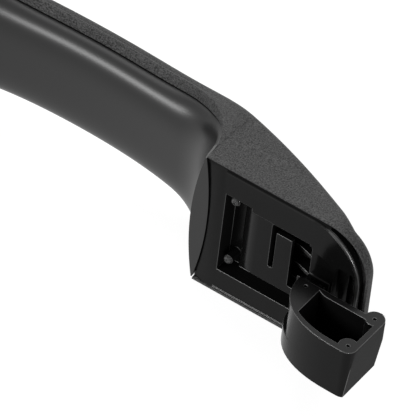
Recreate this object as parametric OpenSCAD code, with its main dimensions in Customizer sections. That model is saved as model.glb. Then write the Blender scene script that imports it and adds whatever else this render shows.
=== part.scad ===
// Exterior door handle of the pull type: a grained cover bridges two feet, a smooth liner closes the
// grip towards the door, and each foot holds an insert. The hinge insert ends in a hollow gooseneck hook,
// the lock insert in a pull leg. X runs along the handle to the hinge end, Y out of the door, Z up.
// The origin is where the neck of the hook leaves the door plane, at the middle of the handle's width.

/* [Handle] */
// Clear length of the finger gap, heel to heel
gap_len = 108.5; // [96:0.5:120]
// Length of a foot from its heel to the tip of the cover
foot_len = 56.6; // [56.6:0.2:64]
// Width of a foot at the door
foot_w = 50; // [48:0.5:54]
// How much the grip pulls in on each side
grip_pinch = 4.8; // [4:0.2:6.4]
// Height of the cover's shoulder at the middle of the grip
arch_h = 30.6; // [30.2:0.2:34]
// Height of the cover's shoulder at the tips of the feet
tip_h = 5.4; // [5.4:0.1:7]
// Shape of the arch, larger for a longer flat in the grip
arch_power = 2.3; // [2.2:0.05:2.6]
// Steepness of the arch's flanks
arch_flank = 1.1; // [1.05:0.05:1.2]
// How far the cover's crown stands over its shoulder
crown_dome = 2.5; // [0.5:0.1:3]

/* [Cover] */
// Wall of the cover
cover_wall = 2.2; // [1.8:0.1:2.6]
// Width of the cover's bare rim along the grip
rim_grip = 3.3; // [2.6:0.1:3.6]
// How far that rim slopes back towards its outer edge
rim_slope = 1; // [0.6:0.1:1.4]
// Thickness of the cover's rim round a foot
rim_foot = 0.8; // [0.6:0.1:1.2]
// Depth of the ledge that the inserts and the liner seat on
seat_d = 2; // [1.6:0.1:2.4]
// Width of that ledge
seat_w = 1.4; // [1:0.1:2]
// Radius of the shoulder
shoulder_r = 3.6; // [3:0.1:3.8]
// Draft of the side walls, inwards for each millimetre of height
draft = 0.04; // [0.02:0.005:0.06]
// Corner radius of the insert at the tip of a foot
corner_r = 18; // [16:0.5:20]
// Corner radius of the cover at the tip of a foot
tip_r = 15; // [14:0.5:18]

/* [Grip liner] */
// Height of the seam at the middle of the grip
seam_h = 24.6; // [23.6:0.2:25]
// Fall of the seam from there to a heel
seam_fall = 5.1; // [4:0.1:6]
// Height of the liner's middle line over the door plane
finger_h = 18.5; // [17:0.1:20]
// Fall of that line from there to a heel
finger_fall = 6.6; // [5:0.2:7]
// Wall of the liner
liner_wall = 2; // [1.5:0.1:2.4]
// Length of the curve from the heel into the grip at the seam
heel_curve = 24.6; // [22:0.2:28]
// Length of the same curve along the middle line
heel_curve_mid = 15.6; // [14:0.2:20]
// Swell of the heel flange into the finger gap
heel_swell = 3.7; // [3:0.1:5]
// Hollow of the insert's heel edge
heel_hollow = 2.6; // [2:0.1:3.2]

/* [Inserts] */
// Clearance between mouldings
fit_gap = 0.2; // [0.15:0.05:0.3]
// Open gap between the insert and the cover's rim at the tip
tip_gap = 1.6; // [1:0.1:2]
// Thickness of the foot plate
plate_t = 2; // [1.6:0.1:2.4]
// Depth of the recess beside the heel
recess_d = 6; // [4:0.1:6.5]
// Height of the recess above the middle line
recess_up = 14.6; // [12:0.1:16]
// Height of the recess below the middle line
recess_down = 15.8; // [14:0.1:17]
// Width of the channel along the recess's lower edge
channel_w = 5; // [4:0.1:6]
// Floor of the recess
floor_t = 1.6; // [1.2:0.1:2]
// Diameter of a stake post's pin
stake_d = 1.5; // [1.2:0.1:1.8]
// Diameter of a stake's formed head
stake_head_d = 2.5; // [2.2:0.1:2.7]
// Diameter of the boss round each stake
boss_d = 3; // [2.8:0.1:3.4]
// Depth of the boss's end below the door plane
boss_y = 1.7; // [1.4:0.1:2.4]
// Distance of the stakes from the heel
stake_x = 10; // [9.6:0.1:10.6]
// Distance between the two stakes of a foot
stake_span = 23.4; // [21:0.1:24]

/* [Hook] */
// Distance of the neck's middle from the heel
neck_x = 41.5; // [41:0.1:43]
// Width of the neck at the plate
neck_w = 7; // [6:0.1:8]
// Reach of the hook's end face from the neck's middle
hook_reach = 26.3; // [25.5:0.1:29]
// Drop of the hook below the door plane
hook_drop = 24.5; // [23:0.25:28]
// Throat between the door plane and the hook's toe
throat_h = 7.8; // [7:0.1:9]
// Hook above the middle line
hook_up = 8; // [7:0.25:9]
// Hook below the middle line
hook_down = 10; // [9:0.25:11]
// Wall of the hook's hollow
hook_wall = 2; // [1.6:0.1:2.4]
// Diameter of the dimples in the hook's rim
dimple_d = 1; // [0.8:0.1:1.2]

/* [Pull leg] */
// Length of the pull leg below the door plane
leg_len = 22; // [16:0.5:24]
// Thickness of the pull leg
leg_t = 8; // [6:0.25:9]
// Width of the pull leg
leg_w = 16; // [12:0.5:18]
// Depth of the notch that the latch lever rides in
leg_notch = 3; // [2:0.1:3.5]

/* [Hidden] */
$fn = 48;
cover_colour = [0.24, 0.24, 0.24];
liner_colour = [0.2, 0.2, 0.2];
insert_colour = [0.15, 0.15, 0.15];
cut = 0.5;

// Places along the handle: u is measured from the middle of the grip, d from a heel towards the grip.
heel_u = gap_len / 2;
tip_u = heel_u + foot_len;
heel_x = -neck_x;
mid_x = heel_x - heel_u;
lock_heel_x = heel_x - gap_len;
half_w = foot_w / 2;
corner_z = half_w - tip_r;
corner_u = tip_u - tip_r;
plate_half_w = half_w - rim_foot - fit_gap;
plate_len = foot_len - rim_foot - tip_gap;

function mix(a, b, t) = a + (b - a) * t;
function ease(t) = (1 - cos(180 * min(1, max(0, t)))) / 2;
tip_flat = 8;
pinch_power = 2.1;
function arch(u) =
    let (x = min(1, abs(u) / (tip_u - tip_flat)))
    mix(tip_h, arch_h, pow(1 - pow(x, arch_power), arch_flank));
function pinch(u) = grip_pinch * (1 - ease(pow(abs(u) / heel_u, pinch_power)));
function half_width(u) = half_w - pinch(u);

// Superellipse that a heel follows from the door plane up into the grip
heel_power = 2.4;
function heel_d(len, a) = len * (1 - pow(cos(a), 2 / heel_power));
function heel_y(h, a) = h * pow(sin(a), 2 / heel_power);
function fall(u, drop) = drop * pow(u / heel_u, 2);
function rim_y(u) =
    let (d = max(0, heel_u - abs(u)), k = max(0, 1 - d / heel_curve))
    (seam_h - fall(u, seam_fall)) * pow(1 - pow(k, heel_power), 1 / heel_power);

// Stations along one quarter of the outline, from the middle of the grip to the tip
heel_steps = 8;
grip_steps = 5;
foot_steps = 6;
corner_steps = 7;
quarter = concat(
    [for (i = [0 : grip_steps - 1]) let (u = (heel_u - heel_curve) * i / grip_steps)
        [u, half_width(u), 0, 1]],
    [for (i = [0 : heel_steps]) let (u = heel_u - heel_d(heel_curve, 90 * (1 - i / heel_steps)))
        [u, half_width(u), 0, 1]],
    [for (i = [1 : foot_steps - 1]) let (u = mix(heel_u, corner_u, i / foot_steps))
        [u, half_width(u), 0, 1]],
    [for (i = [0 : corner_steps]) let (a = 90 * (1 - i / corner_steps))
        [corner_u + tip_r * cos(a), corner_z + tip_r * sin(a), cos(a), sin(a)]]);
q_n = len(quarter);
half_line = concat(
    [for (i = [q_n - 1 : -1 : 1]) let (p = quarter[i]) [-p[0], p[1], -p[2], p[3]]],
    quarter);
h_n = len(half_line);
outline = concat(
    half_line,
    [for (i = [h_n - 1 : -1 : 0]) let (p = half_line[i]) [p[0], -p[1], p[2], -p[3]]]);
o_n = len(outline);

// The crown's spine ends short of the tip, and the rim's width blends over a short length at a heel
spine_end = 20;
blend_len = 12;
function on_spine(u) = sign(u) * min(abs(u), tip_u - spine_end);
function foot_share(u) = ease((abs(u) - heel_u + blend_len) / blend_len);
function rim_width(u) = mix(rim_grip, rim_foot, foot_share(u));
function rim_edge_y(u) = rim_y(u) + rim_slope * (1 - foot_share(u));

// A point of the outline moved in by d at height y
function inset(p, d, y) = [mid_x + p[0] - p[2] * d, y, p[1] - p[3] * d];
// A point of the crown: q is 1 at the shoulder and 0 on the spine
function crown(p, d, drop, q) =
    let (s = inset(p, d, 0), u = s[0] - mid_x, c = mix(on_spine(u), u, q))
    [mid_x + c, arch(c) - drop + crown_dome * (1 - q * q), s[2] * q];
function wall_d(y) = draft * y;

function outer_rings() = [
    [for (p = outline) inset(p, 0, rim_edge_y(p[0]))],
    [for (p = outline) let (y = arch(p[0]) - shoulder_r) inset(p, wall_d(y), y)],
    for (a = [30, 60])
        [for (p = outline) let (y = arch(p[0]) - shoulder_r)
            inset(p, wall_d(y) + shoulder_r * (1 - cos(a)), y + shoulder_r * sin(a))],
    for (q = [1, 0.8, 0.55, 0.25])
        [for (p = outline) crown(p, wall_d(arch(p[0])) + shoulder_r, 0, q)]];

// The cover's hollow: its ceiling ends at ceiling_edge inside the shoulder and steps down to the ledge
ceiling_edge = 0.5;
ceiling_step = 1.2;
function inner_rings() = [
    for (q = [0.25, 0.7])
        [for (p = outline) crown(p, wall_d(arch(p[0])) + shoulder_r, cover_wall, q)],
    [for (p = outline) let (y = arch(p[0]) - cover_wall)
        inset(p, wall_d(y) + shoulder_r + ceiling_edge, y)],
    [for (p = outline) let (y = arch(p[0]) - cover_wall - ceiling_step)
        inset(p, max(wall_d(y) + cover_wall, rim_width(p[0]) + seat_w), y)],
    [for (p = outline) inset(p, rim_width(p[0]) + seat_w, rim_y(p[0]) + seat_d)],
    [for (p = outline) inset(p, rim_width(p[0]), rim_y(p[0]) + seat_d)],
    [for (p = outline) inset(p, rim_width(p[0]), rim_y(p[0]))]];

// Triangles between two closed rings, and between a ring's upper half and its mirrored lower half
function band(a, b, n) = [for (i = [0 : n - 1], t = [0, 1]) let (j = (i + 1) % n)
    t == 0 ? [a + i, b + j, a + j] : [a + i, b + i, b + j]];
function lid(a, n, flip) = [for (i = [0 : n / 2 - 2], t = [0, 1])
    let (l = a + i, m = a + i + 1, r = a + n - 1 - i, s = a + n - 2 - i,
        f = t == 0 ? [l, m, s] : [l, s, r])
    flip ? f : [f[2], f[1], f[0]]];

module cover_shell() {
    rings = concat(outer_rings(), inner_rings());
    outer_n = len(outer_rings());
    r_n = len(rings);
    polyhedron(
        points = [for (r = rings, p = r) p],
        faces = concat(
            [for (k = [0 : outer_n - 2], f = band(k * o_n, (k + 1) * o_n, o_n)) f],
            lid((outer_n - 1) * o_n, o_n, false),
            lid(outer_n * o_n, o_n, true),
            [for (k = [outer_n : r_n - 2], f = band(k * o_n, (k + 1) * o_n, o_n)) f],
            band((r_n - 1) * o_n, 0, o_n)));
}

// Rods along Y from y0 to y1
module rod(d, y0, y1) {
    translate([0, y1, 0]) rotate([90, 0, 0]) cylinder(d = d, h = y1 - y0);
}

// Outline in X and Z, extruded from y0 to y1
module slab(y0, y1) {
    translate([0, y1, 0]) rotate([90, 0, 0]) linear_extrude(y1 - y0) children();
}

// Outline in X and Y, extruded from z0 to z1
module prism(z0, z1) {
    translate([0, 0, z0]) linear_extrude(z1 - z0) children();
}

// A foot's own frame has its heel at X 0; it is moved to the hinge end, or mirrored to the lock end
module hinge_foot() { translate([heel_x, 0, 0]) children(); }
module lock_foot() { translate([lock_heel_x, 0, 0]) mirror([1, 0, 0]) children(); }

// Post from the cover's ceiling down to the recess floor, its pin through the floor, and the pin's head
post_d = 4.4;
post_base_y = recess_d + floor_t + fit_gap;
head_h = 0.8;
head_dimple_r = 0.45;
head_dimple_up = 0.15;

module stake_posts() {
    ceiling_y = arch(heel_u + stake_x) - cover_wall / 2;
    at_stakes() {
        rod(post_d, post_base_y, ceiling_y);
        rod(stake_d, boss_y, post_base_y + cut);
        translate([0, boss_y, 0]) stake_head();
    }
}

// Formed head: a low dome with a dimple
module stake_head() {
    rotate([90, 0, 0]) rotate_extrude() difference() {
        intersection() {
            translate([0, head_h - stake_head_d]) circle(r = stake_head_d);
            square([stake_head_d / 2, head_h]);
        }
        translate([0, head_h + head_dimple_up]) circle(r = head_dimple_r);
    }
}

module outer_cover() {
    color(cover_colour) union() {
        cover_shell();
        hinge_foot() stake_posts();
        lock_foot() stake_posts();
    }
}

// Grip liner: stations s run from one heel's foot to the other, and t runs across from side to side
liner_gap = fit_gap;
swell_roll = 0.5;
s_heel = 9;
s_grip = 5;
heel_angles = concat([0, 4], [for (i = [1 : s_heel]) 90 * i / s_heel]);
s_quarter = concat([for (a = heel_angles) [a, 0]], [for (i = [1 : s_grip]) [90, i / s_grip]]);
s_n = len(s_quarter);
s_line = concat([for (p = s_quarter) [p[0], p[1], 1]],
    [for (i = [s_n - 2 : -1 : 0]) let (p = s_quarter[i]) [p[0], p[1], -1]]);
t_steps = 18;
t_line = [for (i = [0 : t_steps]) sin(90 * (2 * i / t_steps - 1))];
bulge_heel = [2, 1];
bulge_grip = [5, 2];
function bulge(t, a) =
    let (k = ease(a / 60), p = mix(bulge_heel[0], bulge_grip[0], k),
        q = mix(bulge_heel[1], bulge_grip[1], k))
    pow(max(0, 1 - pow(abs(t), p)), 1 / q);

// Profile curves: start is the distance from the heel at the door plane, len and h the curve's reach
function profile(s, start, len, h, drop) =
    let (u = heel_u - start - heel_d(len, s[0]) - (heel_u - start - len) * s[1])
    [u, heel_y(h - fall(u, drop), s[0])];
function liner_point(s, t, start, start_mid, len, len_mid, h, h_mid) =
    let (e = profile(s, start, len, h, seam_fall), m = profile(s, start_mid, len_mid, h_mid, finger_fall),
        b = bulge(t, s[0]), u = mix(e[0], m[0], b), w = half_width(e[0]) - rim_width(e[0]) - liner_gap)
    [mid_x + s[2] * u, mix(e[1], m[1], b), t * w];
side_start = 1;
side_wall = 0.8;
inner_mid = fit_gap - heel_hollow;
function liner_outer(s, t) = liner_point(s, t, side_start - (s[0] == 0 ? swell_roll : 0),
    heel_swell - (s[0] == 0 ? swell_roll : 0), heel_curve - side_start, heel_curve_mid, seam_h, finger_h);
function liner_inner(s, t) = liner_point(s, t, side_start - side_wall, inner_mid,
    heel_curve - side_start + side_wall + liner_wall, heel_curve_mid + heel_swell - inner_mid + liner_wall,
    seam_h + seat_d - fit_gap, finger_h + liner_wall);

module grip_liner() {
    m = len(t_line);
    n = len(s_line);
    sheet = m * n;
    color(liner_colour) polyhedron(
        points = concat([for (s = s_line, t = t_line) liner_outer(s, t)],
            [for (s = s_line, t = t_line) liner_inner(s, t)]),
        faces = concat(
            [for (i = [0 : n - 2], j = [0 : m - 2], k = [0, 1]) let (a = i * m + j, b = a + m)
                k == 0 ? [a, b + 1, a + 1] : [a, b, b + 1]],
            [for (i = [0 : n - 2], j = [0 : m - 2], k = [0, 1]) let (a = sheet + i * m + j, b = a + m)
                k == 0 ? [a, a + 1, b + 1] : [a, b + 1, b]],
            [for (i = [0 : n - 2], k = [0, 1], e = [0, m - 1])
                let (a = i * m + e, b = a + m, c = a + sheet, d = b + sheet,
                    f = k == 0 ? [a, b, d] : [a, d, c])
                e > 0 ? f : [f[2], f[1], f[0]]],
            [for (j = [0 : m - 2], k = [0, 1], e = [0, n - 1])
                let (a = e * m + j, b = a + 1, c = a + sheet, d = b + sheet,
                    f = k == 0 ? [a, d, b] : [a, c, d])
                e > 0 ? f : [f[2], f[1], f[0]]]));
}

// Outline of the foot plate in the foot's own frame
module plate_outline(edge = 0) {
    r = corner_r - edge;
    middle_x = plate_len - corner_r;
    middle_z = plate_half_w - corner_r;
    hollow_r = (plate_half_w * plate_half_w + heel_hollow * heel_hollow) / (2 * heel_hollow);
    difference() {
        union() {
            translate([0, -middle_z - r]) square([middle_x, 2 * (middle_z + r)]);
            for (z = [-middle_z, middle_z]) translate([middle_x, z]) circle(r, $fn = 96);
            translate([middle_x, -middle_z]) square([r, 2 * middle_z]);
        }
        translate([heel_hollow - hollow_r, 0]) circle(hollow_r, $fn = 96);
    }
}

// Places measured from the heel: the strip that slopes to it, the recess, its upper step, the channel
strip_x = 6;
strip_d = 0.9;
recess_x = 7.6;
ramp_x = 16.5;
island_d = 0.5;
island_drop = 1.5;
channel_end = neck_x - neck_w / 2 - 1;
channel_up = 1;
// Tray that backs the recess, the raised lip round the plate's edge, and the play of a pin in its bore
tray_x = 5.6;
tray_knee_x = 33;
tray_tip = 5;
tray_w = 37;
tray_back = recess_d + floor_t;
lip_edge = 0.4;
lip_w = 0.7;
lip_h = 0.35;
bore_gap = 0.1;
over = 1;

// Tray behind the foot plate, in X and Y; it follows the falling crown of the cover
module tray_profile() {
    front_x = plate_len - tray_tip;
    polygon([[tray_x, plate_t - cut], [tray_x, tray_back], [tray_knee_x, tray_back],
        [neck_x, pocket_d + pocket_floor], [front_x, pocket_d + pocket_floor], [front_x, plate_t - cut]]);
}

// Ramp of the recess, in X and Y, from its deep floor in a soft S up to the island
ramp_x0 = 11.4;
ramp_x1 = 19;
ramp_steps = 8;
module ramp_profile() {
    polygon(concat(
        [[channel_end, island_d], [channel_end, -cut], [recess_x, -cut], [recess_x, recess_d]],
        [for (i = [0 : ramp_steps]) let (t = i / ramp_steps)
            [mix(ramp_x0, ramp_x1, t * t), mix(recess_d, island_d, ease(t))]]));
}

module foot_plate() {
    difference() {
        union() {
            slab(0, plate_t - fit_gap / 2) plate_outline();
            intersection() {
                prism(-tray_w / 2, tray_w / 2) tray_profile();
                slab(0, tray_back) plate_outline(seat_w + 2 * fit_gap);
            }
            slab(-lip_h, cut) difference() {
                plate_outline(lip_edge);
                plate_outline(lip_edge + lip_w);
                translate([0, -half_w]) square([strip_x + over, foot_w]);
            }
        }
        // Sloping strip beside the heel
        prism(-half_w, half_w) polygon([[-cut, -over], [-cut, strip_d], [strip_x, 0], [strip_x, -over]]);
        // Recess with its ramp, and the channel along its lower edge
        prism(-recess_down, recess_up) intersection() {
            ramp_profile();
            translate([0, -over]) square([ramp_x, recess_d + 2 * over]);
        }
        prism(channel_w / 2 - recess_down, recess_up - island_drop) intersection() {
            ramp_profile();
            translate([ramp_x - cut, -over]) square([channel_end - ramp_x, recess_d + 2 * over]);
        }
        translate([recess_x, -cut, -recess_down])
            cube([channel_end - recess_x, recess_d - channel_up + cut, channel_w]);
        stake_bores(recess_d - over);
    }
    difference() {
        at_stakes() rod(boss_d, boss_y, recess_d + cut);
        stake_bores(boss_y - over);
    }
}

module stake_bores(y0) {
    at_stakes() rod(stake_d + 2 * bore_gap, y0, tray_back + over);
}

module at_stakes() {
    for (z = [-1, 1]) translate([stake_x, 0, z * stake_span / 2]) children();
}

// Window with the spring tongue and the ribs that carry the neck
slot_x = 23.5;
slot_w = 1.6;
window_x0 = 30.5;
window_x1 = 37.4;
window_up = 12.5;
window_down = 8;
slot_down = 4.5;
arm_w = 2.6;
window_r = 0.7;
rib_t = 1.3;
rib_zs = [6, -1.2, -7];
rib_y = 1.6;
rib_in = 0.5;
rib_step = 2;
rib_floor = 0.4;
rib_toe = 2.8;

module tongue_window() {
    slab(-over, tray_back + over) offset(r = window_r, $fn = 24) offset(delta = -window_r) {
        translate([slot_x, window_up - arm_w]) square([window_x1 - slot_x, arm_w]);
        translate([slot_x, -slot_down]) square([slot_w, window_up + slot_down]);
        translate([window_x0, -window_down]) square([window_x1 - window_x0, window_up + window_down]);
    }
    slab(plate_t, tray_back + over)
        translate([slot_x, -window_down]) square([window_x1 - slot_x, window_up + window_down]);
}

module window_ribs() {
    x0 = slot_x - rib_in;
    x1 = window_x1 + rib_in;
    y1 = tray_back - rib_floor;
    for (z = rib_zs) prism(z - rib_t / 2, z + rib_t / 2) polygon([
        [x0, rib_y + rib_step], [x0, y1], [tray_knee_x, y1], [x1, tray_back - rib_toe], [x1, rib_y],
        [window_x0 + over, rib_y + rib_step]]);
}

// Shallow pocket beyond the neck
pocket_x = neck_x + neck_w / 2 + 0.6;
pocket_d = 2;
pocket_floor = 1.4;
pocket_r = 1.6;
pocket_edge = 2;
pocket_up = 10;
pocket_down = 15;
module tip_pocket() {
    slab(-over, pocket_d) offset(r = pocket_r, $fn = 32) offset(delta = -pocket_r) intersection() {
        plate_outline(pocket_edge);
        translate([pocket_x, -pocket_down]) square([plate_len, pocket_down + pocket_up]);
    }
}

// Side view of the hook, in X and Y, in the foot's own frame: the neck drops from the plate, the belly
// is a quarter of a superellipse, and the toe rises to an ear below the throat
toe_x = neck_x + hook_reach;
belly_r = 24;
belly_power = 2.35;
belly_steps = 16;
belly_x = neck_x - neck_w / 2 + belly_r;
belly_y = -throat_h;
toe_lean = 0.1;
ear_r = 3.1;
ear_rise = 2.8;
corner_c = 3;
throat_r = 5;
ear_y = ear_rise - throat_h - ear_r;
function belly_point(a) = [
    belly_x - belly_r * pow(cos(a), 2 / belly_power),
    belly_y - (hook_drop - throat_h) * pow(sin(a), 2 / belly_power)];
module hook_outline() {
    neck_back = neck_x - neck_w / 2;
    difference() {
        union() {
            translate([neck_back, belly_y]) square([neck_w + throat_r, plate_t - belly_y]);
            polygon(concat(
                [for (i = [0 : belly_steps]) belly_point(90 * i / belly_steps)],
                [[toe_x - toe_lean - corner_c, -hook_drop], [toe_x - toe_lean, corner_c - hook_drop],
                    [toe_x, ear_y], [toe_x - ear_r, belly_y]]));
            translate([toe_x - toe_lean - corner_c, corner_c - hook_drop]) circle(corner_c);
            translate([toe_x - ear_r, ear_y]) circle(ear_r);
        }
        translate([neck_x + neck_w / 2 + throat_r, belly_y + throat_r]) circle(throat_r);
        translate([neck_x + neck_w / 2, belly_y + throat_r]) square([throat_r + over, hook_drop]);
    }
}

// Hollow of the hook with the two screw bosses in its toe corners left standing
hollow_x = neck_x + 4.8;
ear_boss_r = 2.7;
toe_boss_r = 3;
module hollow_outline() {
    difference() {
        intersection() {
            offset(delta = -hook_wall) hook_outline();
            translate([hollow_x, -hook_drop]) square([hook_reach, hook_drop]);
        }
        translate([toe_x - ear_r, ear_y]) circle(ear_boss_r);
        translate([toe_x - toe_lean - corner_c, corner_c - hook_drop]) circle(toe_boss_r);
    }
}

neck_up = 3.3;
neck_straight = 2.4;
neck_dimple = [0.8, 2];
end_draft = 4;
waist_up = 0.7;
waist_lean = 6;
dimples = [[neck_x + neck_dimple[0], -throat_h - neck_dimple[1]], [toe_x - ear_r, ear_y],
    [toe_x - toe_lean - corner_c, corner_c - hook_drop]];

module hook() {
    depth = hook_up + hook_down;
    difference() {
        prism(-hook_down, hook_up) hook_outline();
        prism(hook_wall - hook_down, hook_up + over) hollow_outline();
        for (p = dimples) translate([p[0], p[1], hook_up - over]) cylinder(d = dimple_d, h = 2 * over);
        // Slope of the neck's upper face, down towards the door plane
        rotate([90, 0, 90]) translate([0, 0, neck_x - neck_w]) linear_extrude(neck_w * 2 + throat_r)
            polygon([[plate_t + over, neck_up], [-neck_straight, neck_up], [-throat_h, hook_up],
                [-throat_h, hook_up + over], [plate_t + over, hook_up + over]]);
        // Draft of the end face, inwards towards the closed side
        translate([toe_x, 0, hook_up]) rotate([0, end_draft, 0])
            translate([0, -hook_drop - over, -2 * depth]) cube([depth, hook_drop + over, 3 * depth]);
        // Slope of the ear, down to the throat's face at the closed side
        rotate([90, 0, 90]) translate([0, 0, toe_x - 2 * ear_r - over]) linear_extrude(2 * ear_r + 2 * over)
            polygon([[ear_rise - throat_h, hook_up], [-throat_h, -hook_down], [0, -hook_down], [0, hook_up]]);
        // Waist of the back wall over the full width of the hook's floor
        translate([waist_up, 0, hook_up]) rotate([0, -waist_lean, 0])
            prism(hook_wall - depth, 2 * over) belly_outside();
    }
}

module belly_outside() {
    reach = neck_x - neck_w / 2 - corner_c;
    polygon(concat(
        [for (i = [0 : belly_steps]) belly_point(90 * i / belly_steps)],
        [[belly_x, -hook_drop - over], [reach, -hook_drop - over], [reach, belly_y]]));
}

module hinge_insert() {
    color(insert_colour) hinge_foot() union() {
        difference() {
            foot_plate();
            tongue_window();
            tip_pocket();
        }
        window_ribs();
        hook();
    }
}

// Pull leg, in X and Y, with a round nosed notch for the latch lever
notch_share = 0.62;
module leg_outline() {
    difference() {
        hull() {
            translate([-leg_t / 2, 0]) square([leg_t, plate_t]);
            translate([0, leg_t / 2 - leg_len]) circle(d = leg_t);
        }
        translate([-leg_t / 2, -leg_len * notch_share]) circle(leg_notch);
    }
}

module lock_insert() {
    color(insert_colour) lock_foot() {
        foot_plate();
        translate([neck_x, 0, 0]) prism(-leg_w / 2, leg_w / 2) leg_outline();
    }
}

outer_cover();
grip_liner();
hinge_insert();
lock_insert();
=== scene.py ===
# %% [markdown]
# # Dressing an exterior door handle
# The handle is four plastic mouldings: a grained cover that arches over two feet, a smooth grip
# liner that closes the arch towards the door, and an insert in each foot. One insert ends in a
# hollow hook, the other in a pull leg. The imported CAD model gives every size. This lesson rebuilds
# each moulding as a finer mesh in the same place, and gives each its own finish.

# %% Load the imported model
import math
import bmesh
import bpy
import numpy as np
from mathutils import Matrix, Vector


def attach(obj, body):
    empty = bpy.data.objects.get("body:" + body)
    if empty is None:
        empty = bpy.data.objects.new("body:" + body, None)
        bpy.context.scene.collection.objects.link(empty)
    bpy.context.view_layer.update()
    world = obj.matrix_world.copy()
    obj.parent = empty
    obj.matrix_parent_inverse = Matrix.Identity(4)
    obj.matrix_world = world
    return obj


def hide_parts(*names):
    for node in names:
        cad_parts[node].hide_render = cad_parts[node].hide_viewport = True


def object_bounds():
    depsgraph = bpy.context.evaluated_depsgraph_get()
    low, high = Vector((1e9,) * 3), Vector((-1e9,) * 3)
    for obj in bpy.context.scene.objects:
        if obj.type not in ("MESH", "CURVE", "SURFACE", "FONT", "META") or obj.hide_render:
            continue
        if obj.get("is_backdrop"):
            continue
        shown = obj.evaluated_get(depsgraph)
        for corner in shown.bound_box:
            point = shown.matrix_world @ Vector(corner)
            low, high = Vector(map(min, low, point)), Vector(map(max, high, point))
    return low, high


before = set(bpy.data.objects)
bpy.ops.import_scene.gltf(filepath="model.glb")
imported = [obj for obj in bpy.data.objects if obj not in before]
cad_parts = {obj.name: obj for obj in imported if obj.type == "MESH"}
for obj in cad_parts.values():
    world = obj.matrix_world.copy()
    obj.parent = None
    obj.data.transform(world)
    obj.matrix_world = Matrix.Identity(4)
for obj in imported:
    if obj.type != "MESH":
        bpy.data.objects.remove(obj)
cad_low, cad_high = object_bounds()
print("CAD box in mm:", [round(v * 1000, 1) for v in (*cad_low, *cad_high)])

# %% [markdown]
# ## The camera
# The photograph has no visible perspective, as from a long lens far away. A camera could be set to
# orthographic, but a very long lens four metres off gives the same picture and also works from
# other sides. Its three axes were found by fitting edges of known length.

# %% Place the camera
PHOTO = 416
PX_PER_M = 3540.0
distance = 4.0
right = Vector((0.820, 0.564, 0.0913))
down = Vector((0.456, -0.551, -0.696))
right.normalize()
back = (-right.cross(down)).normalized()
if back.z < 0:
    back = -back
up = back.cross(right).normalized()
origin_px = Vector((320.1, 285.0))
shift = (Vector((PHOTO / 2, PHOTO / 2)) - origin_px) / PX_PER_M
target = right * shift.x - up * shift.y
camera_data = bpy.data.cameras.new("portrait")
camera_data.sensor_width = 36.0
camera_data.lens = 36.0 * distance / (PHOTO / PX_PER_M)
camera_data.clip_end = 30.0
camera = bpy.data.objects.new("portrait", camera_data)
bpy.context.scene.collection.objects.link(camera)
spot = target + back * distance
camera.matrix_world = Matrix((
    (right.x, up.x, back.x, spot.x), (right.y, up.y, back.y, spot.y),
    (right.z, up.z, back.z, spot.z), (0, 0, 0, 1)))
bpy.context.scene.camera = camera
print("camera looks from", [round(v, 3) for v in back], "lens", round(camera_data.lens), "mm")

# %% [markdown]
# ## Shader sums
# A finish is a sum of noises and masks. Written with nodes alone such a sum is long, so a small
# class wraps a socket and lets plain Python signs add the Math nodes. Every other node comes from
# one method, which sets the node up first and then feeds its sockets.

# %% A socket that can be added and multiplied
class Wire:
    def __init__(self, finish, socket):
        self.finish, self.socket = finish, socket

    def sum(self, operation, first, second):
        return self.finish.add("ShaderNodeMath", {"operation": operation}, {0: first, 1: second})

    def __add__(self, other):
        return self.sum("ADD", self, other)

    def __sub__(self, other):
        return self.sum("SUBTRACT", self, other)

    def __rsub__(self, other):
        return self.sum("SUBTRACT", other, self)

    def __mul__(self, other):
        return self.sum("MULTIPLY", self, other)

    def __pow__(self, other):
        return self.sum("POWER", self, other)

    __radd__ = __add__
    __rmul__ = __mul__


# %% A finish and its one way to add a node
class Finish:
    def __init__(self, name):
        self.material = bpy.data.materials.new(name)
        self.material.use_nodes = True
        self.tree = self.material.node_tree
        self.tree.nodes.clear()

    def add(self, kind, settings=None, sockets=None, out=0):
        node = self.tree.nodes.new(kind)
        for name, value in (settings or {}).items():
            if name == "stops":
                ramp = node.color_ramp.elements
                while len(ramp) < len(value):
                    ramp.new(1.0)
                for stop, (place, colour) in zip(ramp, value):
                    stop.position, stop.color = place, colour
            else:
                setattr(node, name, value)
        for name, value in (sockets or {}).items():
            if isinstance(value, Wire):
                self.tree.links.new(value.socket, node.inputs[name])
            else:
                node.inputs[name].default_value = value
        return Wire(self, node.outputs[out]) if node.outputs else None

    def places(self):
        return self.add("ShaderNodeTexCoord", out="Object")

    def noise(self, scale, detail=3.0, roughness=0.5):
        return self.add("ShaderNodeTexNoise", {}, {
            "Vector": self.places(), "Scale": scale, "Detail": detail, "Roughness": roughness})

    def surface(self, sockets):
        shader = self.add("ShaderNodeBsdfPrincipled", {}, sockets)
        self.add_output(shader)
        return self.material

    def add_output(self, shader):
        self.add("ShaderNodeOutputMaterial", {}, {"Surface": shader})


def grey(level):
    return (level, level, level, 1.0)


# %% [markdown]
# ## The finishes
# The cover is spark-eroded: a fine grain that breaks the light into specks. The liner is the same
# black plastic from a smoother mould, so it shows one soft long highlight. The inserts are glossy
# enough to draw bright lines along their edges. All three are one dark grey, and only grain and
# roughness tell them apart.

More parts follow.
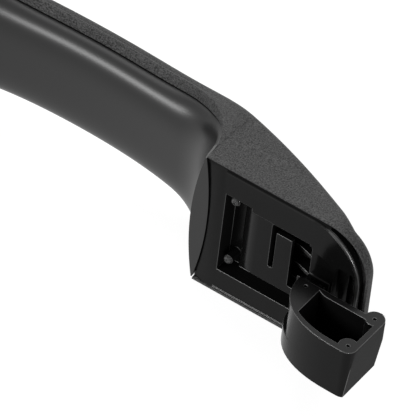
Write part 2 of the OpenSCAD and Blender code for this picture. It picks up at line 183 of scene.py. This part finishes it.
# %% Grained cover
grain = Finish("grained_plastic")
fine = grain.noise(2300.0, 2.0, 0.6)
broad = grain.noise(60.0, 3.0)
pits = grain.add("ShaderNodeTexVoronoi", {"feature": "F1"}, {"Vector": grain.places(), "Scale": 1700.0})
sharp = (fine - 0.5) * 3.0 + 0.5
speck = grain.add("ShaderNodeMix", {"data_type": "RGBA"}, {
    0: sharp, 6: grey(0.005), 7: grey(0.065)}, out=2)
relief = pits * 0.6 + fine * 0.8
grain_bump = grain.add("ShaderNodeBump", {}, {"Strength": 0.9, "Distance": 0.0003, "Height": relief})
grain.surface({"Base Color": speck, "Roughness": broad * 0.12 + 0.46, "Normal": grain_bump,
    "Specular IOR Level": 0.17})

# %% Satin liner
satin = Finish("satin_plastic")
haze = satin.noise(45.0, 4.0)
tooth = satin.noise(3400.0, 2.0)
satin_colour = satin.add("ShaderNodeMix", {"data_type": "RGBA"}, {
    0: haze, 6: grey(0.002), 7: grey(0.004)}, out=2)
satin_bump = satin.add("ShaderNodeBump", {}, {"Strength": 0.12, "Distance": 0.0001, "Height": tooth})
satin.surface({"Base Color": satin_colour, "Roughness": haze * 0.08 + 0.31, "Normal": satin_bump,
    "Specular IOR Level": 0.4})

# %% Moulded inserts
gloss = Finish("insert_plastic")
flow = gloss.noise(90.0, 4.0)
ripple = gloss.noise(1400.0, 3.0)
gloss_colour = gloss.add("ShaderNodeMix", {"data_type": "RGBA"}, {
    0: flow, 6: grey(0.002), 7: grey(0.004)}, out=2)
gloss_bump = gloss.add("ShaderNodeBump", {}, {"Strength": 0.14, "Distance": 0.0001, "Height": ripple})
facing = gloss.add("ShaderNodeSeparateXYZ", {}, {
    "Vector": gloss.add("ShaderNodeNewGeometry", out="Normal")}, out="X")
end_face = gloss.add("ShaderNodeClamp", {}, {"Value": (facing - 0.75) * 5.0})
gloss.surface({"Base Color": gloss_colour, "Roughness": flow * 0.1 + 0.18 + end_face * 0.35,
    "Normal": gloss_bump, "Specular IOR Level": 0.085})

# %% Worn edges of the inserts
worn = Finish("insert_edge")
rub = worn.noise(300.0, 3.0)
worn_colour = worn.add("ShaderNodeMix", {"data_type": "RGBA"}, {
    0: rub, 6: grey(0.003), 7: grey(0.006)}, out=2)
worn.surface({"Base Color": worn_colour, "Roughness": rub * 0.6 + 0.02, "Specular IOR Level": 0.7})
print("finishes:", [m.name for m in bpy.data.materials if m.use_nodes][-3:])

# %% [markdown]
# ## Sizes of the handle
# The mouldings follow the same curves as the CAD model, so the same driving sizes stand here in
# millimetres. Places along the handle are measured from the middle of the grip, called u.

# %% Driving sizes
MM = 0.001
GAP, FOOT, WIDTH = 108.5, 56.6, 50.0
NECK_X = 41.5
HEEL_U, TIP_U, HALF_W = GAP / 2, GAP / 2 + FOOT, WIDTH / 2
MID_X = -NECK_X - HEEL_U
TIP_R = 15.0
CORNER_Z, CORNER_U = HALF_W - TIP_R, TIP_U - TIP_R
WALL, SHOULDER, DRAFT, DOME = 2.2, 3.6, 0.04, 2.5
ARCH_H, TIP_H, PINCH = 30.6, 5.4, 4.8
SEAM_H, SEAM_FALL, FINGER_H, FINGER_FALL = 24.6, 5.1, 18.5, 6.6
HEEL_POWER, HEEL_CURVE, HEEL_CURVE_MID = 2.4, 24.6, 15.6
RIM_GRIP, RIM_FOOT, RIM_SLOPE = 3.3, 0.8, 1.0
print("grip middle at x", MID_X, "heels at", MID_X - HEEL_U, MID_X + HEEL_U)


# %% Curves that both long mouldings follow
def blend(a, b, t):
    return a + (b - a) * t


def ease(t):
    return (1 - math.cos(math.pi * min(1.0, max(0.0, t)))) / 2


def arch(u):
    x = min(1.0, abs(u) / (TIP_U - 8))
    return blend(TIP_H, ARCH_H, (1 - x ** 2.3) ** 1.1)


def half_width(u):
    return HALF_W - PINCH * (1 - ease(min(1.0, abs(u) / HEEL_U) ** 2.1))


def fall(u, drop=SEAM_FALL):
    return drop * (u / HEEL_U) ** 2


def rim_y(u):
    k = max(0.0, 1 - max(0.0, HEEL_U - abs(u)) / HEEL_CURVE)
    return (SEAM_H - fall(u)) * (1 - k ** HEEL_POWER) ** (1 / HEEL_POWER)


def foot_share(u):
    return ease((abs(u) - HEEL_U + 12) / 12)


def rim_width(u):
    return blend(RIM_GRIP, RIM_FOOT, foot_share(u))


def rim_edge_y(u):
    return rim_y(u) + RIM_SLOPE * (1 - foot_share(u))


def heel_d(length, a):
    return length * (1 - math.cos(math.radians(a)) ** (2 / HEEL_POWER))


def heel_y(height, a):
    return height * math.sin(math.radians(a)) ** (2 / HEEL_POWER)


# %% [markdown]
# ## The grained cover
# A cover like this is one thin shell. Sculpting it would lose the sizes, so it is lofted: one closed
# outline round the whole handle, and a family of rings from the rim up the side, over the shoulder
# and the crown, and back down the inside to the ledge that the other mouldings seat on.

# %% Outline of the handle
def quarter_outline():
    points = []
    for i in range(28):
        u = (HEEL_U - HEEL_CURVE) * i / 28
        points.append((u, half_width(u), 0.0, 1.0))
    for i in range(37):
        u = HEEL_U - heel_d(HEEL_CURVE, 90 * (1 - i / 36))
        points.append((u, half_width(u), 0.0, 1.0))
    for i in range(1, 24):
        u = blend(HEEL_U, CORNER_U, i / 24)
        points.append((u, half_width(u), 0.0, 1.0))
    for i in range(25):
        a = math.radians(90 * (1 - i / 24))
        c, s = math.cos(a), math.sin(a)
        points.append((CORNER_U + TIP_R * c, CORNER_Z + TIP_R * s, c, s))
    return points


quarter = quarter_outline()
half = [(-u, z, -c, s) for u, z, c, s in quarter[:0:-1]] + quarter
outline = half + [(u, -z, c, -s) for u, z, c, s in half[::-1]]
print("outline points:", len(outline))


# %% Rings of the cover
def inset(p, d, y):
    return (MID_X + p[0] - p[2] * d, y, p[1] - p[3] * d)


def crown(p, d, drop, q):
    x, _, z = inset(p, d, 0)
    u = x - MID_X
    spine = math.copysign(min(abs(u), TIP_U - HALF_W * 0.8), u)
    c = blend(spine, u, q)
    return (MID_X + c, arch(c) - drop + DOME * (1 - q * q), z * q)


def cover_rings():
    roll = 0.25
    rings = [[inset(p, roll * (1 - math.sin(a)), rim_edge_y(p[0]) + roll * (1 - math.cos(a))) for p in outline]
        for a in (0.0, 0.5, 1.0, math.pi / 2)]
    for t in (0.03, 0.1, 0.25, 0.5, 0.75, 1.0):
        ring = []
        for p in outline:
            low, high = rim_edge_y(p[0]) + roll, arch(p[0]) - SHOULDER
            y = blend(low, high, t)
            ring.append(inset(p, DRAFT * high * t, y))
        rings.append(ring)
    for a in np.radians([12, 24, 36, 48, 60, 72, 84]):
        rings.append([inset(p, DRAFT * (arch(p[0]) - SHOULDER) + SHOULDER * (1 - math.cos(a)),
            arch(p[0]) - SHOULDER + SHOULDER * math.sin(a)) for p in outline])
    for q in (1.0, 0.93, 0.85, 0.75, 0.65, 0.55, 0.45, 0.35, 0.25, 0.15):
        rings.append([crown(p, DRAFT * arch(p[0]) + SHOULDER, 0, q) for p in outline])
    outer = len(rings)
    for q in (0.15, 0.5, 0.8):
        rings.append([crown(p, DRAFT * arch(p[0]) + SHOULDER, WALL, q) for p in outline])
    for p_set in (0,):
        rings.append([inset(p, DRAFT * (arch(p[0]) - WALL) + SHOULDER + 0.5, arch(p[0]) - WALL) for p in outline])
        rings.append([inset(p, max(DRAFT * (arch(p[0]) - WALL - 1.2) + WALL, rim_width(p[0]) + 1.4),
            arch(p[0]) - WALL - 1.2) for p in outline])
    rings.append([inset(p, rim_width(p[0]) + 1.4, rim_y(p[0]) + 2.0) for p in outline])
    rings.append([inset(p, rim_width(p[0]), rim_y(p[0]) + 2.0) for p in outline])
    for a in (0.0, 0.5, 1.0, math.pi / 2):
        rings.append([inset(p, rim_width(p[0]) - 0.3 * (1 - math.cos(a)), rim_y(p[0]) + 0.3 * (1 - math.sin(a)))
            for p in outline])
    return rings, outer


# %% Turn points and faces into a piece
def piece(name, points, faces, material, smooth_angle=40.0):
    mesh = bpy.data.meshes.new(name)
    mesh.from_pydata([tuple(v * MM for v in p) for p in points], [], faces)
    work = bmesh.new()
    work.from_mesh(mesh)
    bmesh.ops.remove_doubles(work, verts=work.verts, dist=1e-7)
    bmesh.ops.recalc_face_normals(work, faces=work.faces)
    work.to_mesh(mesh)
    work.free()
    mesh.shade_smooth()
    mesh.set_sharp_from_angle(angle=math.radians(smooth_angle))
    mesh.materials.append(material)
    thing = bpy.data.objects.new(name, mesh)
    bpy.context.scene.collection.objects.link(thing)
    print(name, "has", len(mesh.polygons), "faces")
    return thing


def band(a, b, n):
    return [(a + i, a + (i + 1) % n, b + (i + 1) % n, b + i) for i in range(n)]


def lid(a, n):
    return [(a + i, a + i + 1, a + n - 2 - i, a + n - 1 - i) for i in range(n // 2 - 1)]


# %% Loft the cover
rings, outer = cover_rings()
n = len(outline)
faces = []
for k in range(len(rings) - 1):
    if k != outer - 1:
        faces += band(k * n, (k + 1) * n, n)
faces += lid((outer - 1) * n, n) + lid(outer * n, n) + band((len(rings) - 1) * n, 0, n)
cover = piece("cover_shell", [p for ring in rings for p in ring], faces, grain.material)
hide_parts("outer_cover")
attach(cover, "root")

# %% [markdown]
# ## The stake posts
# The cover and each insert are joined by two posts that reach through bores in the insert. Their
# ends are formed over with heat and leave small domes with a dimple. A post is a turned shape, so
# it is spun from a half profile instead of being built from cylinders.

# %% Spin the posts
def spun(name, profile, place, material, steps=40):
    points, faces, m = [], [], len(profile)
    for i in range(steps):
        a = 2 * math.pi * i / steps
        points += [(place[0] + r * math.cos(a), y, place[2] + r * math.sin(a)) for r, y in profile]
    for i in range(steps):
        j = (i + 1) % steps
        faces += [(i * m + k, j * m + k, j * m + k + 1, i * m + k + 1) for k in range(m - 1)]
    thing = piece(name, points, faces, material)
    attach(thing, "root")
    return thing


stake = [(0.0, 1.42), (0.12, 1.42), (0.3, 1.3), (0.45, 1.08), (0.55, 0.96), (0.75, 0.98), (1.0, 1.12),
    (1.18, 1.35), (1.25, 1.6), (1.25, 1.7), (0.75, 1.7), (0.75, 7.8), (2.2, 7.8), (2.2, 25.0), (0.0, 25.0)]
for end, heel, way in (("hinge", -NECK_X, 1), ("lock", -NECK_X - GAP, -1)):
    for side, z in (("upper", 11.7), ("lower", -11.7)):
        top = arch(HEEL_U + 10.0) - WALL / 2
        profile = [(r, top if y == 25.0 else y) for r, y in stake]
        post = spun(f"stake_{end}_{side}", profile, (heel + way * 10.0, 0, z), grain.material)

# %% [markdown]
# ## The grip liner
# The liner is what the fingers hook behind. It seats on the cover's ledge under the seam, swells
# towards the door, and ends at each foot in a flange. It is one sheet with an inside, lofted along
# the same heel curve as the cover's rim, so that the seam keeps an even gap.

# %% Shape of the liner
LINER_WALL, LEDGE, FIT = 2.0, 2.0, 0.2
SIDE_START, SIDE_WALL, SWELL, HOLLOW = 1.0, 0.8, 3.7, 2.6
INNER_MID = FIT - HOLLOW


def liner_profile(s, start, length, height, drop):
    u = HEEL_U - start - heel_d(length, s[0]) - (HEEL_U - start - length) * s[1]
    return u, heel_y(height - fall(u, drop), s[0])


def bulge(t, a):
    k = ease(a / 60)
    p, q = blend(2.0, 5.0, k), blend(1.0, 2.0, k)
    return max(0.0, 1 - abs(t) ** p) ** (1 / q)


def liner_point(s, t, start, start_mid, length, length_mid, height, height_mid):
    e = liner_profile(s, start, length, height, SEAM_FALL)
    m = liner_profile(s, start_mid, length_mid, height_mid, FINGER_FALL)
    b = bulge(t, s[0])
    w = half_width(e[0]) - rim_width(e[0]) - FIT
    return (MID_X + s[2] * blend(e[0], m[0], b), blend(e[1], m[1], b), t * w)


def liner_outer(s, t):
    roll = 0.5 * max(0.0, 1 - s[0] / 4.0) ** 2
    return liner_point(s, t, SIDE_START - roll, SWELL - roll, HEEL_CURVE - SIDE_START, HEEL_CURVE_MID,
        SEAM_H, FINGER_H)


def liner_inner(s, t):
    return liner_point(s, t, SIDE_START - SIDE_WALL, INNER_MID,
        HEEL_CURVE - SIDE_START + SIDE_WALL + LINER_WALL, HEEL_CURVE_MID + SWELL - INNER_MID + LINER_WALL,
        SEAM_H + LEDGE - FIT, FINGER_H + LINER_WALL)


# %% Loft the liner
angles = [0, 0.6, 1.4, 2.4, 4] + [4 + 86 * (i / 34) for i in range(1, 35)]
stations = [(a, 0.0) for a in angles] + [(90, i / 20) for i in range(1, 21)]
line = [(a, g, 1) for a, g in stations] + [(a, g, -1) for a, g in stations[-2::-1]]
across = [math.sin(math.pi / 2 * (2 * i / 48 - 1)) for i in range(49)]
m, n = len(across), len(line)
sheet = m * n
points = [liner_outer(s, t) for s in line for t in across] + [liner_inner(s, t) for s in line for t in across]
faces = []
for base in (0, sheet):
    for i in range(n - 1):
        for j in range(m - 1):
            a = base + i * m + j
            faces.append((a, a + 1, a + m + 1, a + m))
for i in range(n - 1):
    for e in (0, m - 1):
        a = i * m + e
        faces.append((a, a + m, a + m + sheet, a + sheet))
for j in range(m - 1):
    for e in (0, n - 1):
        a = e * m + j
        faces.append((a, a + 1, a + 1 + sheet, a + sheet))
liner = piece("liner_skin", points, faces, satin.material, 50.0)
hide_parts("grip_liner")
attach(liner, "root")

# %% [markdown]
# ## The two inserts
# The inserts carry the fine work: a recess, a spring tongue with ribs, the hook and the pull leg.
# Their CAD solids already have every form, but with edges of no width, which never catch light.
# A copy of each gets a narrow rolled edge from a Bevel modifier, after its flat triangles have been
# joined into whole faces.

# %% Ease the ledge of the hook's back wall into its belly
def close_ledge(work):
    levels = {}
    for v in work.verts:
        x, y, z = v.co / MM
        if -4.5 < z < -1.5 and y < -7.5 and x < 20.6:
            levels.setdefault(round(y, 1), []).append(v)
    for y, pair in levels.items():
        pair.sort(key=lambda v: v.co.x)
        for v in pair[1:]:
            v.co = v.co.lerp(pair[0].co, ease((-y - 14.0) / 7.2))
    bmesh.ops.remove_doubles(work, verts=work.verts, dist=2e-6)
    print("levels of the ledge:", len(levels))


# %% Choose the edges that get rolled
def mark_edges(work):
    weight = work.edges.layers.float.new("bevel_weight_edge")
    for e in work.edges:
        x, y, z = (e.verts[0].co + e.verts[1].co) / 2 / MM
        in_shadow = z > 22.8 or -1 < x < 9.5 and y > -3 and abs(z) < 13
        e[weight] = float(e.calc_face_angle(0.0) > math.radians(28) and not in_shadow)


# %% Copies with rolled edges
def rolled_copy(node, name, width, material):
    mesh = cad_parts[node].data.copy()
    mesh.name = name
    work = bmesh.new()
    work.from_mesh(mesh)
    bmesh.ops.remove_doubles(work, verts=work.verts, dist=2e-6)
    if node == "hinge_insert":
        close_ledge(work)
    bmesh.ops.dissolve_limit(work, angle_limit=math.radians(0.6), verts=work.verts, edges=work.edges)
    bmesh.ops.dissolve_degenerate(work, dist=0.03 * MM, edges=work.edges)
    mark_edges(work)
    work.to_mesh(mesh)
    work.free()
    mesh.shade_smooth()
    mesh.materials.clear()
    mesh.materials.append(material)
    mesh.materials.append(worn.material)
    thing = bpy.data.objects.new(name, mesh)
    bpy.context.scene.collection.objects.link(thing)
    bevel = thing.modifiers.new("rolled edges", "BEVEL")
    bevel.width, bevel.segments, bevel.limit_method = width, 2, "WEIGHT"
    bevel.use_clamp_overlap, bevel.material = False, 1
    flat = thing.modifiers.new("flat faces", "WEIGHTED_NORMAL")
    flat.weight, flat.keep_sharp = 100, True
    bpy.context.view_layer.update()
    ready = thing.evaluated_get(bpy.context.evaluated_depsgraph_get())
    final = bpy.data.meshes.new_from_object(ready)
    thing.modifiers.clear()
    thing.data = final
    print(name, "has", len(final.polygons), "faces")
    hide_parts(node)
    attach(thing, "root")
    return thing


hinge = rolled_copy("hinge_insert", "hinge_insert_skin", 0.15 * MM, gloss.material)
lock = rolled_copy("lock_insert", "lock_insert_skin", 0.15 * MM, gloss.material)


# %% Rounded lips round the tips of the foot plates
def lip_path():
    r, middle_x, middle_z = 17.25, 36.2, 6.0
    arc = [math.radians(90 * i / 24) for i in range(25)]
    upper = [(middle_x + r * math.sin(a), middle_z + r * math.cos(a), math.sin(a), math.cos(a),
        blend(0.05, 1.0, ease(a / 0.6))) for a in arc]
    return upper + [(x, -z, ox, -oz, 0.6 * size) for x, z, ox, oz, size in upper[::-1]]


def lip(name, heel, way):
    path, steps = lip_path(), 16
    points = []
    for x, z, ox, oz, size in path:
        for i in range(steps):
            a = 2 * math.pi * i / steps
            s, y = 0.72 * size * math.cos(a), 0.05 + 0.65 * size * math.sin(a)
            points.append((heel + way * (x + s * ox), y, z + s * oz))
    count = len(path)
    faces = [(k * steps + i, k * steps + (i + 1) % steps, (k + 1) * steps + (i + 1) % steps,
        (k + 1) * steps + i) for k in range(count - 1) for i in range(steps)]
    faces += [tuple(range(steps)), tuple((count - 1) * steps + i for i in range(steps))]
    thing = piece(name, points, faces, worn.material, 60.0)
    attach(thing, "root")


lip("lip_hinge", -NECK_X, 1)
lip("lip_lock", -NECK_X - GAP, -1)

# %% [markdown]
# ## Floor, world and lamps
# The handle stands on a white sheet. The sheet and the world show white to the camera and in
# reflections through Light Path, while the lamps stay at a plain level, so the black plastic keeps
# its own depth. The sheet still takes the handle's soft shadow.

# %% White to the eye, plain to the light
def is_ray(finish, kind):
    return finish.add("ShaderNodeLightPath", out=f"Is {kind} Ray")


def mirrored_rays(finish):
    return finish.add("ShaderNodeMath", {"operation": "MAXIMUM"}, {
        0: is_ray(finish, "Glossy"), 1: is_ray(finish, "Transmission")})


def seen_rays(finish):
    return finish.add("ShaderNodeMath", {"operation": "MAXIMUM"}, {
        0: is_ray(finish, "Camera"), 1: mirrored_rays(finish)})


world = bpy.data.worlds.new("studio")
bpy.context.scene.world = world
world.use_nodes = True
sky = Finish.__new__(Finish)
sky.tree = world.node_tree
sky.tree.nodes.clear()
plain = sky.add("ShaderNodeBackground", {}, {"Color": grey(1.0), "Strength": 0.26})
white = sky.add("ShaderNodeBackground", {}, {"Color": grey(1.0), "Strength": 1.0})
both = sky.add("ShaderNodeMixShader", {}, {0: seen_rays(sky), 1: plain, 2: white})
sky.add("ShaderNodeOutputWorld", {}, {"Surface": both})

# %% Floor sheet
paper = Finish("floor_paper")
matt = paper.add("ShaderNodeBsdfPrincipled", {}, {"Base Color": grey(0.3), "Roughness": 0.9,
    "Specular IOR Level": 0.0})
glow = paper.add("ShaderNodeEmission", {}, {"Color": grey(1.0), "Strength": 0.8})
lit = paper.add("ShaderNodeAddShader", {}, {0: matt, 1: glow})
white_paper = paper.add("ShaderNodeEmission", {}, {"Color": grey(1.0), "Strength": 1.0})
unseen = paper.add("ShaderNodeMixShader", {}, {0: mirrored_rays(paper), 1: matt, 2: white_paper})
paper.add_output(paper.add("ShaderNodeMixShader", {}, {0: is_ray(paper, "Camera"), 1: unseen, 2: lit}))
floor_mesh = bpy.data.meshes.new("floor_sheet")
reach, low = 6.0, cad_low.z - 0.0005
floor_mesh.from_pydata([(x, y, low) for x, y in ((-reach, -reach), (reach, -reach), (reach, reach),
    (-reach, reach))], [], [(0, 1, 2, 3)])
floor_mesh.materials.append(paper.material)
floor = bpy.data.objects.new("floor_sheet", floor_mesh)
bpy.context.scene.collection.objects.link(floor)
floor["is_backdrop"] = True


# %% Lamps
def softbox(name, towards, away, width, height, watts):
    lamp = bpy.data.lights.new(name, "AREA")
    lamp.shape, lamp.size, lamp.size_y, lamp.energy = "RECTANGLE", width, height, watts
    thing = bpy.data.objects.new(name, lamp)
    bpy.context.scene.collection.objects.link(thing)
    way = Vector(towards).normalized()
    thing.location = target + way * away
    thing.rotation_mode = "QUATERNION"
    thing.rotation_quaternion = way.to_track_quat("Z", "Y")
    return thing


softbox("overhead", (-0.25, 0.62, 0.74), 0.9, 0.9, 0.9, 7.0)
softbox("front_strip", (-0.5, -0.78, 0.46), 0.9, 0.65, 0.3, 9.0)
softbox("right_fill", (0.66, -0.75, 0.03), 0.9, 0.14, 0.14, 3.6)

# %% [markdown]
# ## Picture settings and the two boxes
# The Standard view shows colours as they are written. The two boxes, of the CAD model and of the
# dressed handle, are written out so that they can be compared.

# %% Finish
bpy.context.scene.view_settings.view_transform = "Standard"
low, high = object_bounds()
print("dressed box in mm:", [round(v * 1000, 1) for v in (*low, *high)])
